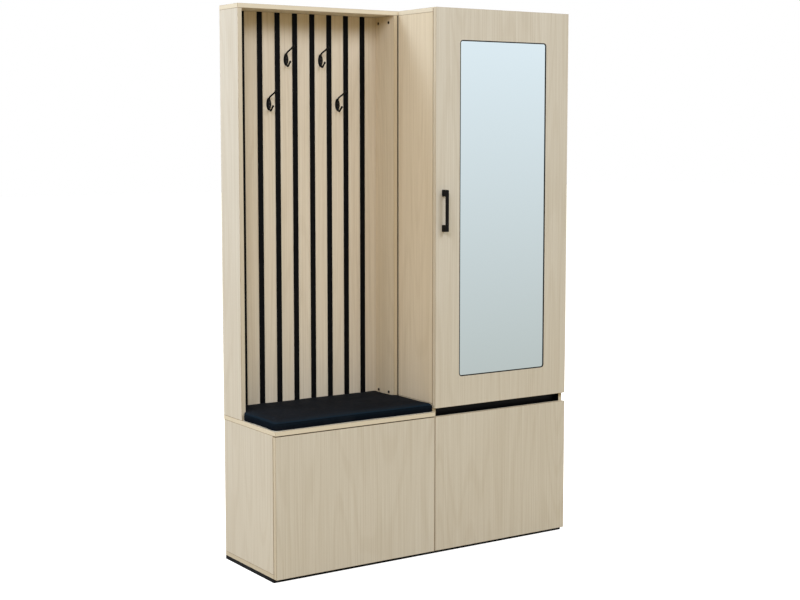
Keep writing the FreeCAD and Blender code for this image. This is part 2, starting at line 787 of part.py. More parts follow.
def make_cushion():
    x_span = (left + cushion_side_inset, split - cushion_side_inset)
    y_span = (front + cushion_front_inset, niche_face - slat_thickness - cushion_back_play)
    sections = []
    for step in range(cushion_steps + 1):
        turn = math.pi * step / cushion_steps
        swell = abs(math.sin(turn)) ** cushion_crown_power
        height_share = cushion_end_height_share + (1 - cushion_end_height_share) * swell
        length_share = (1 - math.cos(turn)) / 2
        draw_share = math.sin(turn) ** 2
        sections.append(cushion_section(share_of(x_span, length_share), y_span, height_share, draw_share))
    pad = Part.makeLoft(sections, True, True)
    notch_y = (niche_front - cushion_panel_play, rear)
    notch_z = (bench_surface - overrun, bench_surface + 2 * cushion_crown_height)
    for x_notch in (
        (left - overrun, niche_inner[0] + cushion_panel_play),
        (niche_inner[1] - cushion_panel_play, split + overrun),
    ):
        pad = pad.cut(box(x_notch, notch_y, notch_z))
    pieces["cushion"] = pad


def main():
    make_plinth()
    make_units()
    make_grip_profile()
    make_niche()
    make_hooks()
    make_doors()
    make_mirror()
    make_handle()
    make_hinges()
    make_latch()
    make_bumpers()
    make_shelves()
    make_unit_screws()
    make_dowels()
    make_cushion()
    os.makedirs("parts", exist_ok=True)
    for name, shape in pieces.items():
        shape.exportStep("parts/%s.step" % name)


main()
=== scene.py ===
import bmesh
import bpy
import math
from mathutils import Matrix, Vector, noise
from mathutils.bvhtree import BVHTree
from mathutils.kdtree import KDTree


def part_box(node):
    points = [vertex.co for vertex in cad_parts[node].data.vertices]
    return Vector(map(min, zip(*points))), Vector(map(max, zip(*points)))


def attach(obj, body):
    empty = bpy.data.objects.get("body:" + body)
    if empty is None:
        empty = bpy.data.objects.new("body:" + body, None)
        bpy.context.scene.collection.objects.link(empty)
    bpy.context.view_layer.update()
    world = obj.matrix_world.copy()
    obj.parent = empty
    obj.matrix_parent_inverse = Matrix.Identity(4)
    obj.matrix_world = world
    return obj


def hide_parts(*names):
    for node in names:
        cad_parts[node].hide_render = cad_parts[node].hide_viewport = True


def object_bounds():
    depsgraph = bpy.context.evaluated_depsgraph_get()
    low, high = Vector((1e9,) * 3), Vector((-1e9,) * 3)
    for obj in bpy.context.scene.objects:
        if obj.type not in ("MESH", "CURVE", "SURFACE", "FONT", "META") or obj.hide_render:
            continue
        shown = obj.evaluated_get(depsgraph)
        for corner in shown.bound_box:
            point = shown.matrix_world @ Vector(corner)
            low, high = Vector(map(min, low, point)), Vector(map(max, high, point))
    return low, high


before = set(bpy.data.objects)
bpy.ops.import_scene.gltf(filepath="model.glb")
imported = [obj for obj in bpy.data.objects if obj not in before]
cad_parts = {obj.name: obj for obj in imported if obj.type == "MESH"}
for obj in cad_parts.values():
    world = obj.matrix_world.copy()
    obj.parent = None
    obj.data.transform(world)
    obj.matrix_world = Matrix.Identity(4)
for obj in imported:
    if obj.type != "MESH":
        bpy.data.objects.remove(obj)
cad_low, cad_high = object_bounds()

# Lengths are in metres and angles in degrees. X runs to the right, Y to the rear and Z up.
X, Y, Z = range(3)

# Camera, fitted to the stand's corners in the photograph. A tilt stands in for most of the photograph's
# downward shift. The lens and the sensor are in millimetres.
CAMERA_PLACE = (-3.0583, -4.5898, 1.5544)
CAMERA_TURN = 33.586
CAMERA_TILT = 5.514
CAMERA_LENS = 67.04
CAMERA_SENSOR = 36.0
CAMERA_SHIFT = -0.03

# Light: wide cool lamps from the right front and the left front, a small one level with the left side,
# one from the left rear that reaches over the niche, and one from the right rear. A warm sky and floor
# fill the shadows. Each lamp has its place, size, power and colour.
LAMPS = {
    "key": ((1.8, -5.6, 5.6), 2.8, 187.0, (0.74, 0.84, 1.0)),
    "fill": ((-4.0, -4.1, 4.3), 2.5, 168.0, (0.76, 0.83, 1.0)),
    "side": ((-5.0, 0.1, 1.5), 1.2, 39.0, (0.80, 0.85, 1.0)),
    "left": ((-3.2, 1.6, 4.2), 1.5, 86.0, (0.66, 0.80, 1.0)),
    "rear": ((3.5, 2.5, 2.5), 2.0, 105.0, (0.78, 0.87, 1.0)),
}
SKY_COLOUR = (0.455, 0.425, 0.31)
SEEN_SKY = (1.0, 1.0, 1.0)
FLOOR_BOUNCE = (0.37, 0.29, 0.155)
FLOOR_SIZE = 60.0
FLOOR_COLOUR = (226, 224, 220)
FLOOR_LIFT = 0.88

# Curve from a colour as it is seen, 0 to 255, to a shader's linear values
FULL_TONE = 255
CURVE_FOOT_SHARE = 0.04045
CURVE_FOOT_SLOPE = 12.92
CURVE_OFFSET_SHARE = 0.055
CURVE_POWER = 2.4

# Sockets of a mix of two colours
MIX_FIRST = 6
MIX_SECOND = 7
MIX_RESULT = 2

# In the finishes below a colour is as it is seen, a noise is its detail and roughness, and a row of shares
# is the two values that a figure runs between and then, where they aren't 0 and 1, what these become.

# Pale ash laminate: darker and lighter tone outside, warmer tones on the niche's inner sides that paint the
# warm shade in the niche, and on its back warm tones lifted a little, which paint that shade and some light
LAMINATE_TONES = ((215, 202, 181), (231, 221, 204))
NICHE_SHADE_TONES = ((220, 201, 170), (236, 219, 191))
NICHE_BACK_SHADE_TONES = ((218, 201, 175), (234, 219, 196))
LAMINATE_PORE = (196, 178, 149)
LAMINATE_EDGE = (212, 194, 162)
# Painted shade on every chamfer, which darkens the grooves between boards
ARRIS_SHADE = (150, 122, 84)
FLAT_BOARD_EDGE = (243, 226, 194)
# Painted shade for the bench door's top edge, which lies in the shadow under the bench top
DOOR_TOP_SHADE = (58, 44, 30)
LAMINATE_GLOSS_SHARE = 0.20
LAMINATE_ROUGHNESS_SHARES = (0.30, 0.70, 0.50, 0.60)
FACING_SHARES = (0.80, 0.95)
EDGE_BAND_SHARES = (0.0, 1.0, 0.55, 0.0)
ARRIS_SHADE_SHARES = (0.0, 1.0, 0.75, 0.0)

# Laminate figure: how far a streak, a pore and a growth ring reach across and along the grain
STREAK_ACROSS = 0.0042
STREAK_ALONG = 0.55
STREAK_NOISE = (4.0, 0.6)
STREAK_TONE_SHARES = (0.30, 0.70, -0.34, 0.34)
PORE_ACROSS = 0.0009
PORE_ALONG = 0.028
PORE_NOISE = (2.0, 0.5)
PORE_SHARES = (0.58, 0.76, 0.0, 0.22)
RING_ACROSS = 0.16
RING_ALONG = 1.7
RING_COUNT = 13.0
RING_NOISE = (1.0, 0.4)
RING_TONE_SHARES = (0.2, 1.0, 0.06, -0.14)
BROAD_SIZE = 0.45
BROAD_NOISE = (1.0, 0.5)
BROAD_TONE_SHARES = (0.30, 0.70, 0.42, 0.58)
GRAIN_DEPTH = 0.0001
GRAIN_BUMP_SHARE = 0.35

# Hardboard of the back sheets, with its flecks and clouds
HARDBOARD_RAW = (150, 117, 82)
HARDBOARD_FLECK = (112, 84, 56)
HARDBOARD_FACE = (219, 209, 191)
HARDBOARD_GLOSS_SHARE = 0.25
FLECK_SIZE = 0.0016
FLECK_NOISE = (4.0, 0.7)
FLECK_TONE_SHARES = (0.40, 0.80)
FLECK_ROUGHNESS_SHARES = (0.3, 0.7, 0.55, 0.8)
FLECK_DEPTH = 0.00012
FLECK_BUMP_SHARE = 0.4
SHEET_CLOUD_SIZE = 0.06
SHEET_CLOUD_NOISE = (3.0, 0.6)
SHEET_CLOUD_SHARE = 0.15
REARWARD_SHARES = (-0.5, 0.5)

# Paint, plastic, metal and dowel wood: colour, share of white where it is worn, size and depth of the grain,
# roughness, share of metal and share of gloss
FINE_FINISHES = {
    "black_board": ((7, 7, 8), 0.04, 0.0007, 0.00006, 0.50, 0.0, 0.05),
    "black_metal": ((7, 7, 8), 0.03, 0.0004, 0.00003, 0.38, 0.0, 0.10),
    "dark_screw": ((54, 46, 38), 0.12, 0.0005, 0.00002, 0.34, 1.0, 0.5),
    "steel": ((186, 186, 184), 0.3, 0.0006, 0.00001, 0.27, 1.0, 0.5),
    "beech": ((206, 172, 128), 0.2, 0.0012, 0.00005, 0.62, 0.0, 0.5),
    "grey_plastic": ((158, 158, 156), 0.1, 0.0005, 0.00003, 0.44, 0.0, 0.5),
    "clear_plastic": ((226, 229, 230), 0.3, 0.0006, 0.00001, 0.22, 0.0, 0.5),
    "dark_bead": ((22, 22, 21), 0.04, 0.0006, 0.00002, 0.45, 0.0, 0.12),
    # Painted shadow: a dark strip stands in for the shade in the gap between the niche and the tall unit
    "joint_strip": ((24, 18, 12), 0.04, 0.0006, 0.00002, 0.60, 0.0, 0.10),
}
FINE_NOISE = (3.0, 0.6)
FINE_BUMP_SHARE = 0.5
FINE_CLOUD_GRAINS = 40
FINE_CLOUD_NOISE = (2.0, 0.5)
FINE_CLOUD_SHARES = (0.3, 0.7)
FINE_TONE_SHARES = (0.75, 1.25, 0.0, 0.6)
FINE_ROUGHNESS_SPREAD = 0.05

# Silvered glass whose colour paints a reflection, pale and cool at the top and darker towards the foot, with
# wiping marks
MIRROR_REFLECTION_TOP = (220, 235, 242)
MIRROR_REFLECTION_FOOT = (185, 195, 194)
WIPE_SIZES = (0.09, 0.09, 0.30)
WIPE_NOISE = (3.0, 0.6)
WIPE_ROUGHNESS_SHARES = (0.35, 0.75, 0.008, 0.03)

# Faux leather by how far it looks up: painted bluish sheen on the flanks and shoulder, a painted highlight
# on the rim, and the leather's own dark tone on top
LEATHER_SHEEN_BY_TILT = (
    (0.0, (13, 18, 25)), (0.30, (17, 27, 36)), (0.70, (24, 38, 49)),
    (0.93, (31, 35, 40)), (0.998, (27, 28, 31)),
)
LEATHER_WORN = (34, 38, 44)
LEATHER_WORN_SHARES = (0.75, 1.35, 0.0, 0.35)
LEATHER_GLOSS_SHARE = 0.0015
LEATHER_ROUGHNESS_SHARES = (0.3, 0.7, 0.40, 0.54)
LEATHER_CLOUD_SIZE = 0.12
LEATHER_CLOUD_NOISE = (2.0, 0.5)
PEBBLES_PER_METRE = 900.0
PEBBLE_DEPTH = 0.0002
PEBBLE_BUMP_SHARE = 0.45
WRINKLE_SIZE = 0.010
WRINKLE_NOISE = (5.0, 0.65)
WRINKLE_DEPTH = 0.0010
WRINKLE_BUMP_SHARE = 0.25

# Cushion before it swells: each row of its profile is an inset and a height
CUSHION_PROFILE = (
    (0.0030, 0.0), (0.0008, 0.005), (0.0, 0.013), (0.0010, 0.021), (0.0040, 0.0270), (0.0095, 0.0305),
    (0.0180, 0.0322),
)
CUSHION_FRONT_CORNER = 0.018
CUSHION_INNER_CORNER = 0.006
CUSHION_CORNER = 0.010
CUSHION_OVER = 0.001
CUSHION_PLAY = 0.0015
CUSHION_BOW = 0.003
CUSHION_BOW_RUN = 0.3
CUSHION_SPACING = 0.006
CUSHION_VOXEL = 0.005

# Cushion's cloth, how far it may swell, and its creases
CLOTH_SETTINGS = {
    "quality": 5,
    "mass": 0.3,
    "tension_stiffness": 18,
    "compression_stiffness": 18,
    "shear_stiffness": 6,
    "bending_stiffness": 0.6,
    "use_pressure": True,
    "uniform_pressure_force": 4.0,
}
CLOTH_FRAMES = 20
CUSHION_PIN_HEIGHT = 0.003
CUSHION_SPREAD = 0.0015
CUSHION_EDGE_RISE = 0.0010
CUSHION_CROWN_RISE = 0.0075
CUSHION_CROWN_RUN = 0.13
CUSHION_CREASE = 0.0010
CUSHION_CREASE_SIZE = 0.07

# Piped seam of the cushion, found by rays that start away from the pad
WELT_RADIUS = 0.0016
WELT_HEIGHT = 0.0275
WELT_SPACING = 0.009
WELT_AWAY = 0.05
WELT_ORDER = 4
WELT_ROUND_STEPS = 4

# Mirror bead: each point of its section is an inset from the pocket's wall and a height over the pocket's
# bottom
BEAD_SECTION = (
    (0.00005, 0.0002), (0.00005, 0.0058), (0.0005, 0.0063), (0.0020, 0.0066), (0.0034, 0.0062),
    (0.0041, 0.0050), (0.0042, 0.0042), (0.0029, 0.0042), (0.0029, 0.0002),
)
BEAD_CORNER = 0.012
ARC_STEPS = 6

# Dark strip in the joint between the niche and the tall unit, which paints the shadow in the gap: how far it
# stands out and reaches in
STRIP_OUT = 0.0025
STRIP_IN = 0.010
STRIP_PLAY = 0.00005
STRIP_STEPS = 8

# Edges that stay sharp when a piece is shaded smooth
SHARP_ANGLE = 42.0
WELD_DISTANCE = 0.00001

CARCASS = "carcass"
MIRROR_DOOR = "mirror_door_leaf"
UNITS = ("bench", "shoe", "tall")


def linear(colour):
    """A seen colour as the linear values that a shader takes, with full cover."""
    values = []
    for tone in colour:
        share = tone / FULL_TONE
        if share <= CURVE_FOOT_SHARE:
            values.append(share / CURVE_FOOT_SLOPE)
        else:
            values.append(((share + CURVE_OFFSET_SHARE) / (1 + CURVE_OFFSET_SHARE)) ** CURVE_POWER)
    return (*values, 1)


class Nodes:
    """A tree of nodes, with short calls that add and join them."""

    def __init__(self, tree, family="ShaderNode"):
        self.tree = tree
        self.family = family

    def add(self, kind, inputs=None, **settings):
        node = self.tree.nodes.new(self.family + kind)
        for name, value in settings.items():
            setattr(node, name, value)
        for name, value in (inputs or {}).items():
            self.give(node.inputs[name], value)
        return node

    def give(self, socket, value):
        """Links another node's output to a socket, or sets a plain value on it."""
        if isinstance(value, bpy.types.NodeSocket):
            self.tree.links.new(value, socket)
        else:
            socket.default_value = value

    def maths(self, operation, first, second=0.0):
        return self.add("Math", {0: first, 1: second}, operation=operation).outputs[0]

    def seen_ray(self, *kinds):
        """1 for rays of the given kinds, which show a thing rather than light it."""
        path = self.add("LightPath")
        found = path.outputs["Is %s Ray" % kinds[0]]
        for kind in kinds[1:]:
            found = self.maths("MAXIMUM", found, path.outputs["Is %s Ray" % kind])
        return found

    def mix(self, share, first, second):
        """The first shader, with the given share of the second."""
        return self.add("MixShader", {0: share, 1: first, 2: second}).outputs[0]


class Shader(Nodes):
    """A material's nodes round its main shader."""

    def __init__(self, name):
        self.material = bpy.data.materials.new(name)
        self.material.use_nodes = True
        super().__init__(self.material.node_tree)
        self.main = self.tree.nodes["Principled BSDF"]
        coordinates = self.add("TexCoord")
        self.place = coordinates.outputs["Object"]
        self.normal = coordinates.outputs["Normal"]

    def finish(self, **inputs):
        """Gives the main shader its inputs, named with _ for each space, and returns the material."""
        for name, value in inputs.items():
            self.give(self.main.inputs[name.replace("_", " ")], value)
        return self.material

    def blotches(self, sizes, kind, place=None):
        """Noise whose blotches are about as large as the sizes along X, Y and Z."""
        detail, roughness = kind
        scale = [1 / size for size in sizes]
        spread = self.add("Mapping", {"Vector": place or self.place, "Scale": scale}).outputs[0]
        inputs = {"Vector": spread, "Scale": 1.0, "Detail": detail, "Roughness": roughness}
        return self.add("TexNoise", inputs).outputs["Fac"]

    def span(self, value, low, high, to_low=0.0, to_high=1.0):
        """A value between low and high, turned smoothly into one between two others."""
        inputs = {"Value": value, "From Min": low, "From Max": high, "To Min": to_low, "To Max": to_high}
        return self.add("MapRange", inputs, interpolation_type="SMOOTHSTEP").outputs["Result"]

    def blend(self, share, first, second):
        """The first colour, with the given share of the second."""
        inputs = {"Factor": share, MIX_FIRST: first, MIX_SECOND: second}
        return self.add("Mix", inputs, data_type="RGBA").outputs[MIX_RESULT]

    def ramp(self, value, stops):
        """Colours at rising places along a value, blended between them."""
        node = self.add("ValToRGB", {0: value})
        elements = node.color_ramp.elements
        for index, (place, colour) in enumerate(stops):
            element = elements[index] if index < len(elements) else elements.new(place)
            element.position = place
            element.color = linear(colour)
        return node.outputs[0]

    def bump(self, height, distance, strength, under=None):
        inputs = {"Height": height, "Distance": distance, "Strength": strength}
        if under is not None:
            inputs["Normal"] = under
        return self.add("Bump", inputs).outputs[0]

    def lean(self, axis):
        """How far the surface looks along an axis of its own object, from -1 to 1."""
        return self.add("SeparateXYZ", {0: self.normal}).outputs[axis]

    def facing(self, axis):
        """1 where the surface looks along an axis, either way, and 0 where it looks across it."""
        return self.span(self.maths("ABSOLUTE", self.lean(axis)), *FACING_SHARES)


def even(size):
    return [size, size, size]


def along_grain(grain, across, along):
    """Sizes along X, Y and Z of a figure that is stretched along the grain."""
    sizes = even(across)
    sizes[grain] = along
    return sizes


def laminate(name, grain, thin, tones=LAMINATE_TONES, edge_tone=LAMINATE_EDGE, top_shade=None):
    """Pale ash laminate. The grain runs along one axis, and the edges round the thin axis are banded. A
    given top shade darkens the faces that look up, as painted shade.
    """
    shader = Shader(name)
    chance = shader.add("ObjectInfo").outputs["Random"]
    offset = shader.add("CombineXYZ", {X: chance, Y: chance, Z: chance}).outputs[0]
    place = shader.add("VectorMath", {0: shader.place, 1: offset}, operation="ADD").outputs[0]
    streak = shader.blotches(along_grain(grain, STREAK_ACROSS, STREAK_ALONG), STREAK_NOISE, place)
    pore = shader.blotches(along_grain(grain, PORE_ACROSS, PORE_ALONG), PORE_NOISE, place)
    figure = shader.blotches(along_grain(grain, RING_ACROSS, RING_ALONG), RING_NOISE, place)
    broad = shader.blotches(even(BROAD_SIZE), BROAD_NOISE, place)
    ring = shader.maths("SINE", shader.maths("MULTIPLY", figure, RING_COUNT * 2 * math.pi))

    tone = shader.span(broad, *BROAD_TONE_SHARES)
    tone = shader.maths("ADD", tone, shader.span(streak, *STREAK_TONE_SHARES))
    tone = shader.maths("ADD", tone, shader.span(ring, *RING_TONE_SHARES))
    pores = shader.span(pore, *PORE_SHARES)
    band = shader.span(shader.facing(thin), *EDGE_BAND_SHARES)
    flat = shader.maths("MAXIMUM", shader.facing(X), shader.facing(Y))
    flat = shader.maths("MAXIMUM", flat, shader.facing(Z))
    # Chamfers darkened: painted shade in the joints
    arris_shade = shader.span(flat, *ARRIS_SHADE_SHARES)

    colour = shader.blend(tone, linear(tones[0]), linear(tones[1]))
    colour = shader.blend(pores, colour, linear(LAMINATE_PORE))
    colour = shader.blend(band, colour, linear(edge_tone))
    colour = shader.blend(arris_shade, colour, linear(ARRIS_SHADE))
    if top_shade:
        upward = shader.span(shader.lean(Z), *FACING_SHARES)
        colour = shader.blend(upward, colour, linear(top_shade))
    return shader.finish(
        Base_Color=colour,
        Roughness=shader.span(streak, *LAMINATE_ROUGHNESS_SHARES),
        Specular_IOR_Level=LAMINATE_GLOSS_SHARE,
        Normal=shader.bump(shader.maths("SUBTRACT", streak, pores), GRAIN_DEPTH, GRAIN_BUMP_SHARE),
    )


def hardboard(name):
    """Thin back sheet: lacquered towards the inside, raw and flecked towards the wall."""
    shader = Shader(name)
    fleck = shader.blotches(even(FLECK_SIZE), FLECK_NOISE)
    cloud = shader.blotches(even(SHEET_CLOUD_SIZE), SHEET_CLOUD_NOISE)
    cloudy = shader.maths("ADD", fleck, shader.maths("MULTIPLY", cloud, SHEET_CLOUD_SHARE))
    flecked = shader.span(cloudy, *FLECK_TONE_SHARES)
    raw = shader.blend(flecked, linear(HARDBOARD_RAW), linear(HARDBOARD_FLECK))
    rearward = shader.span(shader.lean(Y), *REARWARD_SHARES)
    return shader.finish(
        Base_Color=shader.blend(rearward, linear(HARDBOARD_FACE), raw),
        Roughness=shader.span(fleck, *FLECK_ROUGHNESS_SHARES),
        Specular_IOR_Level=HARDBOARD_GLOSS_SHARE,
        Normal=shader.bump(fleck, FLECK_DEPTH, FLECK_BUMP_SHARE),
    )


def fine_solid(name):
    """Paint, plastic, metal or dowel wood with a fine grain and a faint change of tone."""
    colour, worn_share, grain, depth, roughness, metal, gloss = FINE_FINISHES[name]
    worn = [tone + worn_share * (FULL_TONE - tone) for tone in colour]
    rough = (roughness - FINE_ROUGHNESS_SPREAD, roughness + FINE_ROUGHNESS_SPREAD)
    shader = Shader(name)
    fine = shader.blotches(even(grain), FINE_NOISE)
    cloud = shader.blotches(even(grain * FINE_CLOUD_GRAINS), FINE_CLOUD_NOISE)
    tone = shader.span(shader.maths("ADD", fine, cloud), *FINE_TONE_SHARES)
    return shader.finish(
        Base_Color=shader.blend(tone, linear(colour), linear(worn)),
        Metallic=metal,
        Roughness=shader.span(cloud, *FINE_CLOUD_SHARES, *rough),
        Specular_IOR_Level=gloss,
        Normal=shader.bump(fine, depth, FINE_BUMP_SHARE),
    )


def mirror_glass(name):
    """Silvered glass whose colour paints a cool reflection that darkens towards the foot, and faint wiping
    marks.
    """
    shader = Shader(name)
    low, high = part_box("mirror")
    height = shader.add("SeparateXYZ", {0: shader.place}).outputs[Z]
    rising = {"Value": height, "From Min": low.z, "From Max": high.z}
    share = shader.add("MapRange", rising).outputs["Result"]
    wipe = shader.blotches(WIPE_SIZES, WIPE_NOISE)
    return shader.finish(
        Base_Color=shader.blend(share, linear(MIRROR_REFLECTION_FOOT), linear(MIRROR_REFLECTION_TOP)),
        Metallic=1.0,
        Roughness=shader.span(wipe, *WIPE_ROUGHNESS_SHARES),
    )


def leather(name):
    """Black faux leather: pebbled grain and fine wrinkles, with a faint bluish sheen and a rim highlight
    painted by how far it looks up.
    """
    shader = Shader(name)
    pebbles = {"Vector": shader.place, "Scale": PEBBLES_PER_METRE}
    pebble = shader.add("TexVoronoi", pebbles).outputs["Distance"]
    wrinkle = shader.blotches(even(WRINKLE_SIZE), WRINKLE_NOISE)
    cloud = shader.blotches(even(LEATHER_CLOUD_SIZE), LEATHER_CLOUD_NOISE)
    # Painted sheen and highlight, by how far the surface looks up
    sheen_by_tilt = shader.ramp(shader.lean(Z), LEATHER_SHEEN_BY_TILT)
    worn = shader.span(shader.maths("ADD", wrinkle, cloud), *LEATHER_WORN_SHARES)
    pebbled = shader.bump(pebble, PEBBLE_DEPTH, PEBBLE_BUMP_SHARE)
    return shader.finish(
        Base_Color=shader.blend(worn, sheen_by_tilt, linear(LEATHER_WORN)),
        Roughness=shader.span(wrinkle, *LEATHER_ROUGHNESS_SHARES),
        Specular_IOR_Level=LEATHER_GLOSS_SHARE,
        Normal=shader.bump(wrinkle, WRINKLE_DEPTH, WRINKLE_BUMP_SHARE, pebbled),
    )


def dress(material, *names):
    """Gives the named nodes a material in place of their own."""
    for name in names:
        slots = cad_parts[name].data.materials
        slots.clear()
        slots.append(material)


def named(start):
    """The nodes whose names begin alike, such as the slats."""
    return [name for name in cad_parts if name.startswith(start)]


def of_units(ending):
    """The nodes that every unit with a door has, such as its bottom board."""
    return [unit + ending for unit in UNITS]


def dress_boards():
    """The grain runs up the sides, the fronts and the niche's back, and along the other boards."""
    side = laminate("laminate_side", Z, X)
    dress(side, *of_units("_right_side"), "bench_left_side", "shoe_left_side", "niche_left_side")
    # Warmer tones: painted warm shade on the niche's inner sides
    niche_side = laminate("laminate_niche_side_shade", Z, X, NICHE_SHADE_TONES)
    dress(niche_side, "niche_right_side", "tall_left_side")
    # Warm, lifted tones: painted shade and light on the niche's back
    dress(laminate("laminate_niche_back_shade", Z, Y, NICHE_BACK_SHADE_TONES), "niche_back_panel")
    dress(laminate("laminate_front", Z, Y), "shoe_door", "tall_door")
    # Its faces that look up get painted shade, for the shadow under the bench top
    dress(laminate("laminate_front_shaded_top", Z, Y, top_shade=DOOR_TOP_SHADE), "bench_door")
    dress(laminate("laminate_bottom", X, Z), *of_units("_bottom_board"))
    flat = laminate("laminate_flat", X, Z, edge_tone=FLAT_BOARD_EDGE)
    dress(flat, "bench_top", "niche_top_board", "tall_top_board")
    dress(flat, "bench_shelf", "shoe_shelf", *named("tall_shelf_"))
    dress(hardboard("hardboard"), *of_units("_back_sheet"))
    dress(fine_solid("black_board"), *named("slat_"), *named("plinth_"))


def dress_fittings():
    dress(fine_solid("black_metal"), *named("coat_hook_"), "door_handle", "grip_profile")
    dress(fine_solid("dark_screw"), "unit_screws", "hook_screws", "handle_screws")
    dress(fine_solid("steel"), "hinge_plates", "hinge_arms", "shelf_pins", *of_units("_hinge_cups"))
    dress(fine_solid("beech"), "dowels")
    dress(fine_solid("grey_plastic"), "latch_housing", "latch_plunger")
    dress(fine_solid("clear_plastic"), "door_bumpers")
    dress(mirror_glass("mirror_glass"), "mirror")


def soften_edges():
    """Shades round forms smooth: each node's doubled points are joined, and only true edges stay sharp."""
    group = bpy.data.node_groups.new("soften", "GeometryNodeTree")
    for side in ("INPUT", "OUTPUT"):
        group.interface.new_socket(name="Geometry", in_out=side, socket_type="NodeSocketGeometry")
    nodes = Nodes(group, family="")
    start = nodes.add("NodeGroupInput").outputs[0]
    plain = nodes.add("GeometryNodeRemoveAttribute", {0: start, "Name": "custom_normal"}).outputs[0]
    welded = nodes.add("GeometryNodeMergeByDistance", {0: plain, "Distance": WELD_DISTANCE}).outputs[0]
    soft = nodes.add("GeometryNodeSetShadeSmooth", {0: welded}).outputs[0]
    angle = nodes.add("GeometryNodeInputMeshEdgeAngle").outputs["Unsigned Angle"]
    sharp = nodes.add("FunctionNodeCompare", {"A": angle, "B": math.radians(SHARP_ANGLE)}).outputs["Result"]
    chosen = {0: soft, "Selection": sharp, "Shade Smooth": False}
    edged = nodes.add("GeometryNodeSetShadeSmooth", chosen, domain="EDGE").outputs[0]
    nodes.add("NodeGroupOutput", {0: edged})
    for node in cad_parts.values():
        node.modifiers.new("Soften", "NODES").node_group = group


def rounded_outline(corners, spacing, bow=0.0):
    """Points round a closed outline of (x, y, radius) corners.

    Each corner is an arc, and long runs may bow inwards.
    """
    arcs = []
    count = len(corners)
    for index, (x, y, radius) in enumerate(corners):
        here = Vector((x, y))
        before = (Vector(corners[index - 1][:2]) - here).normalized()
        after = (Vector(corners[(index + 1) % count][:2]) - here).normalized()
        start = here + before * radius
        end = here + after * radius
        middle = here + (before + after) * radius
        steps = max(ARC_STEPS, int(radius / spacing * math.pi / 2) + 1)
        arc = []
        for step in range(steps + 1):
            angle = step / steps * math.pi / 2
            arc.append(middle + (start - middle) * math.cos(angle) + (end - middle) * math.sin(angle))
        arcs.append(arc)
    points = []
    for index, arc in enumerate(arcs):
        points += arc
        following = arcs[(index + 1) % count][0]
        run = following - arc[-1]
        steps = max(1, int(run.length / spacing))
        inward = Vector((-run.y, run.x)).normalized()
        for step in range(1, steps):
            share = step / steps
            depth = bow * math.sin(math.pi * share) ** 2 * min(1.0, run.length / CUSHION_BOW_RUN)
            points.append(arc[-1] + run * share + inward * depth)
    return points


def cushion_outline(spacing):
    """The pad's outline: it fills the bench and has notches round the niche's two sides."""
    low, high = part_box("cushion")
    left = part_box("niche_left_side")
    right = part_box("niche_right_side")
    notch = left[0].y - CUSHION_PLAY
    notch_left = left[1].x + CUSHION_PLAY
    notch_right = right[0].x - CUSHION_PLAY
    corners = [
        (low.x, low.y, CUSHION_FRONT_CORNER),
        (high.x + CUSHION_OVER, low.y, CUSHION_INNER_CORNER),
        (high.x + CUSHION_OVER, notch, CUSHION_CORNER),
        (notch_right, notch, CUSHION_CORNER),
        (notch_right, high.y, CUSHION_CORNER),
        (notch_left, high.y, CUSHION_CORNER),
        (notch_left, notch, CUSHION_CORNER),
        (low.x, notch, CUSHION_CORNER),
    ]
    return rounded_outline(corners, spacing, CUSHION_BOW)


def outward_of(outline, index):
    run = outline[(index + 1) % len(outline)] - outline[index - 1]
    return Vector((run.y, -run.x)).normalized()


def inset_outline(outline, inset):
    return [point - outward_of(outline, index) * inset for index, point in enumerate(outline)]


def new_object(name, made):
    """A mesh object from a bmesh, which is used up."""
    mesh = bpy.data.meshes.new(name)
    made.normal_update()
    made.to_mesh(mesh)
    made.free()
    piece = bpy.data.objects.new(name, mesh)
    bpy.context.scene.collection.objects.link(piece)
    return piece


def skin(name, rows, ring=False):
    """A closed skin over rows of points, each row a loop. The ends are capped, or joined into a ring."""
    made = bmesh.new()
    loops = [[made.verts.new(place) for place in row] for row in rows]
    pairs = list(zip(loops, loops[1:]))
    if ring:
        pairs.append((loops[-1], loops[0]))
    else:
        made.faces.new(loops[0])
        made.faces.new(loops[-1])
    for lower, upper in pairs:
        for index in range(len(lower)):
            made.faces.new([lower[index - 1], lower[index], upper[index], upper[index - 1]])
    bmesh.ops.recalc_face_normals(made, faces=made.faces)
    return new_object(name, made)


def apply_modifiers(piece):
    """Makes what the modifiers do part of the mesh."""
    graph = bpy.context.evaluated_depsgraph_get()
    mesh = bpy.data.meshes.new_from_object(piece.evaluated_get(graph))
    piece.modifiers.clear()
    piece.data = mesh


def smooth(piece):
    """Shades a piece smooth and keeps its true edges sharp."""
    for face in piece.data.polygons:
        face.use_smooth = True
    piece.data.set_sharp_from_angle(angle=math.radians(SHARP_ANGLE))


def blow_up(pad, foot):
    """Blows the pad up as stuffed cloth whose underside is held."""
    low = [vertex.index for vertex in pad.data.vertices if vertex.co.z < foot + CUSHION_PIN_HEIGHT]
    held = pad.vertex_groups.new(name="held")
    held.add(low, 1.0, "ADD")
    cloth = pad.modifiers.new("Cloth", "CLOTH")
    for name, value in CLOTH_SETTINGS.items():
        setattr(cloth.settings, name, value)
    cloth.settings.effector_weights.gravity = 0
    cloth.settings.vertex_group_mass = held.name
    cloth.collision_settings.use_collision = False
    scene = bpy.context.scene
    for number in range(1, CLOTH_FRAMES + 1):
        scene.frame_set(number)
    apply_modifiers(pad)
    scene.frame_set(1)


def limited(length, most):
    """A length that nears its limit smoothly and never passes it."""
    return most * math.tanh(length / most)


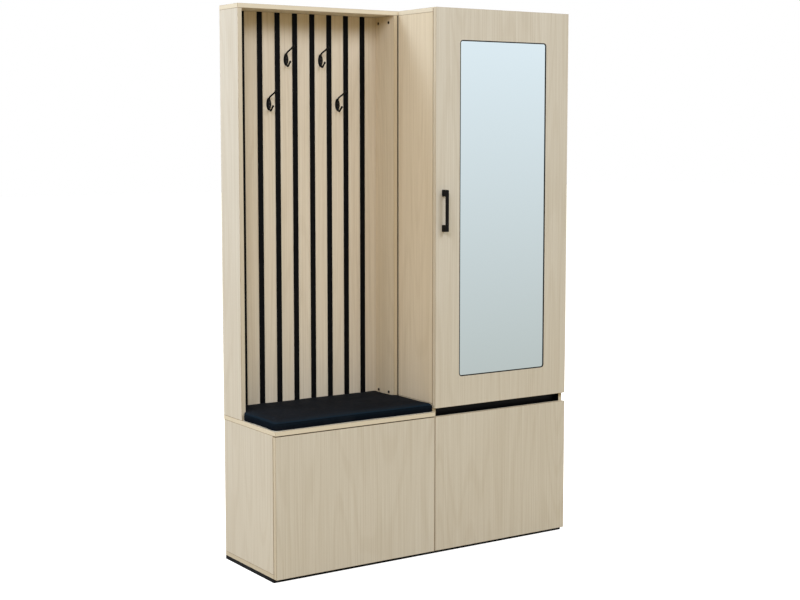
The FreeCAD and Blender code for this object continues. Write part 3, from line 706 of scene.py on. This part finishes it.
def swell_cushion(pad, foot, outline):
    """Blows the pad up, limits how far each point moves, least at the edge, and adds faint creases."""
    start = [vertex.co.copy() for vertex in pad.data.vertices]
    blow_up(pad, foot)
    rim = KDTree(len(outline))
    for index, point in enumerate(outline):
        rim.insert((point.x, point.y, 0), index)
    rim.balance()
    for vertex, before in zip(pad.data.vertices, start):
        move = vertex.co - before
        aside = Vector((move.x, move.y, 0))
        distance = rim.find((before.x, before.y, 0))[-1]
        inside_share = min(1.0, distance / CUSHION_CROWN_RUN)
        crown_share = math.sin(inside_share * math.pi / 2)
        rise = CUSHION_EDGE_RISE + (CUSHION_CROWN_RISE - CUSHION_EDGE_RISE) * crown_share
        vertex.co = before + aside.normalized() * limited(aside.length, CUSHION_SPREAD)
        vertex.co.z += limited(max(0.0, move.z), rise)
        if before.z > foot + CUSHION_PIN_HEIGHT:
            vertex.co.z += CUSHION_CREASE * noise.noise(before / CUSHION_CREASE_SIZE)


def make_cushion():
    """The pad: a skin over its profile, made of even cells, swelled and kept above the bench top."""
    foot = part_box("bench_top")[1].z
    outline = cushion_outline(CUSHION_SPACING)
    rows = []
    for inset, rise in CUSHION_PROFILE:
        rows.append([(place.x, place.y, foot + rise) for place in inset_outline(outline, inset)])
    pad = skin("bench_cushion", rows)
    voxels = pad.modifiers.new("Remesh", "REMESH")
    voxels.mode = "VOXEL"
    voxels.voxel_size = CUSHION_VOXEL
    apply_modifiers(pad)
    swell_cushion(pad, foot, outline)
    for vertex in pad.data.vertices:
        vertex.co.z = max(vertex.co.z, foot)
    pad.modifiers.new("Subdivision", "SUBSURF").levels = 1
    apply_modifiers(pad)
    smooth(pad)
    return pad


def make_welt(pad):
    """A piped seam round the pad where its top meets its sides."""
    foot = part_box("bench_top")[1].z
    tree = BVHTree.FromObject(pad, bpy.context.evaluated_depsgraph_get())
    outline = cushion_outline(WELT_SPACING)
    route = []
    for index, point in enumerate(outline):
        outward = outward_of(outline, index)
        away = Vector((outward.x, outward.y, 1.0)).normalized()
        aim = Vector((point.x, point.y, foot + WELT_HEIGHT))
        hit = tree.ray_cast(aim + away * WELT_AWAY, -away)[0]
        if hit is not None:
            route.append(hit)
    curve = bpy.data.curves.new("cushion_welt", "CURVE")
    curve.dimensions = "3D"
    curve.bevel_depth = WELT_RADIUS
    curve.bevel_resolution = WELT_ROUND_STEPS
    spline = curve.splines.new("NURBS")
    spline.points.add(len(route) - 1)
    for node, point in zip(spline.points, route):
        node.co = (*point, 1.0)
    spline.use_cyclic_u = True
    spline.order_u = WELT_ORDER
    welt = bpy.data.objects.new("cushion_welt", curve)
    bpy.context.scene.collection.objects.link(welt)
    return welt


def make_bead():
    """The bead round the mirror: a soft strip in the door's pocket, with a lip that laps the glass."""
    low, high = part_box("mirror_bead")
    places = ((low.x, low.z), (high.x, low.z), (high.x, high.z), (low.x, high.z))
    corners = [(x, z, BEAD_CORNER) for x, z in places]
    outline = rounded_outline(corners, high.z - low.z)
    rows = []
    for inset, rise in BEAD_SECTION:
        rows.append([(place.x, high.y - rise, place.y) for place in inset_outline(outline, inset)])
    bead = skin("glass_bead", rows, ring=True)
    smooth(bead)
    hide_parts("mirror_bead")
    return bead


def make_joint_shadow_strip():
    """A dark strip with a round nose that fills the joint between the niche and the tall unit and paints the
    shadow in the gap.
    """
    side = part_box("niche_right_side")
    left = side[1].x + STRIP_PLAY
    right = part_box("tall_left_side")[0].x - STRIP_PLAY
    radius = (right - left) / 2
    nose = side[0].y - STRIP_OUT + radius
    section = [(right, side[0].y + STRIP_IN), (left, side[0].y + STRIP_IN)]
    for step in range(STRIP_STEPS + 1):
        angle = math.pi * step / STRIP_STEPS
        section.append((left + radius - radius * math.cos(angle), nose - radius * math.sin(angle)))
    rows = [[(x, y, height) for x, y in section] for height in (side[0].z, side[1].z)]
    strip = skin("joint_strip", rows)
    smooth(strip)
    return strip


def dress_trim():
    trims = ((make_bead(), "dark_bead", MIRROR_DOOR), (make_joint_shadow_strip(), "joint_strip", CARCASS))
    for piece, finish, body in trims:
        piece.data.materials.append(fine_solid(finish))
        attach(piece, body)


def dress_cushion():
    cover = leather("faux_leather")
    pad = make_cushion()
    welt = make_welt(pad)
    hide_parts("cushion")
    for piece in (pad, welt):
        piece.data.materials.append(cover)
        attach(piece, CARCASS)


def make_world():
    """White where it is seen, and a warm sky where it lights."""
    world = bpy.data.worlds.new("studio")
    world.use_nodes = True
    world.node_tree.nodes.clear()
    bpy.context.scene.world = world
    nodes = Nodes(world.node_tree)
    sky = nodes.add("Background", {"Color": (*SKY_COLOUR, 1)}).outputs[0]
    white = nodes.add("Background", {"Color": (*SEEN_SKY, 1)}).outputs[0]
    seen = nodes.seen_ray("Camera", "Glossy", "Transmission")
    nodes.add("OutputWorld", {"Surface": nodes.mix(seen, sky, white)})


def make_floor():
    """A pale floor that is white where it is lit, keeps the object's soft shadow and reflects as white."""
    made = bmesh.new()
    bmesh.ops.create_grid(made, x_segments=1, y_segments=1, size=FLOOR_SIZE / 2)
    floor = new_object("floor", made)
    material = bpy.data.materials.new("floor")
    material.use_nodes = True
    material.node_tree.nodes.clear()
    nodes = Nodes(material.node_tree)
    bounce = nodes.add("BsdfDiffuse", {"Color": (*FLOOR_BOUNCE, 1)}).outputs[0]
    matt = nodes.add("BsdfDiffuse", {"Color": linear(FLOOR_COLOUR)}).outputs[0]
    glow = nodes.add("Emission", {"Strength": FLOOR_LIFT}).outputs[0]
    white = nodes.add("Emission").outputs[0]
    pale = nodes.add("AddShader", {0: matt, 1: glow}).outputs[0]
    shown = nodes.mix(nodes.seen_ray("Camera"), bounce, pale)
    surface = nodes.mix(nodes.seen_ray("Glossy", "Transmission"), shown, white)
    nodes.add("OutputMaterial", {"Surface": surface})
    floor.data.materials.append(material)


def make_lamp(name, place, size, power, colour):
    """A square lamp that looks at the middle of the stand."""
    lamp = bpy.data.lights.new(name, "AREA")
    lamp.size = size
    lamp.energy = power
    lamp.color = colour
    holder = bpy.data.objects.new(name, lamp)
    holder.location = place
    aim = (cad_low + cad_high) / 2 - holder.location
    holder.rotation_euler = aim.to_track_quat("-Z", "Y").to_euler()
    bpy.context.scene.collection.objects.link(holder)


def make_lights():
    for name, lamp in LAMPS.items():
        make_lamp(name, *lamp)


def make_camera():
    lens = bpy.data.cameras.new("camera")
    lens.lens = CAMERA_LENS
    lens.sensor_width = CAMERA_SENSOR
    lens.shift_y = CAMERA_SHIFT
    camera = bpy.data.objects.new("camera", lens)
    camera.location = CAMERA_PLACE
    camera.rotation_euler = (math.pi / 2 - math.radians(CAMERA_TILT), 0, -math.radians(CAMERA_TURN))
    bpy.context.scene.collection.objects.link(camera)
    bpy.context.scene.camera = camera


def write_sizes():
    bpy.context.view_layer.update()


make_camera()
make_world()
make_floor()
make_lights()
dress_boards()
dress_fittings()
soften_edges()
dress_cushion()
dress_trim()
bpy.context.scene.view_settings.view_transform = "Standard"
write_sizes()
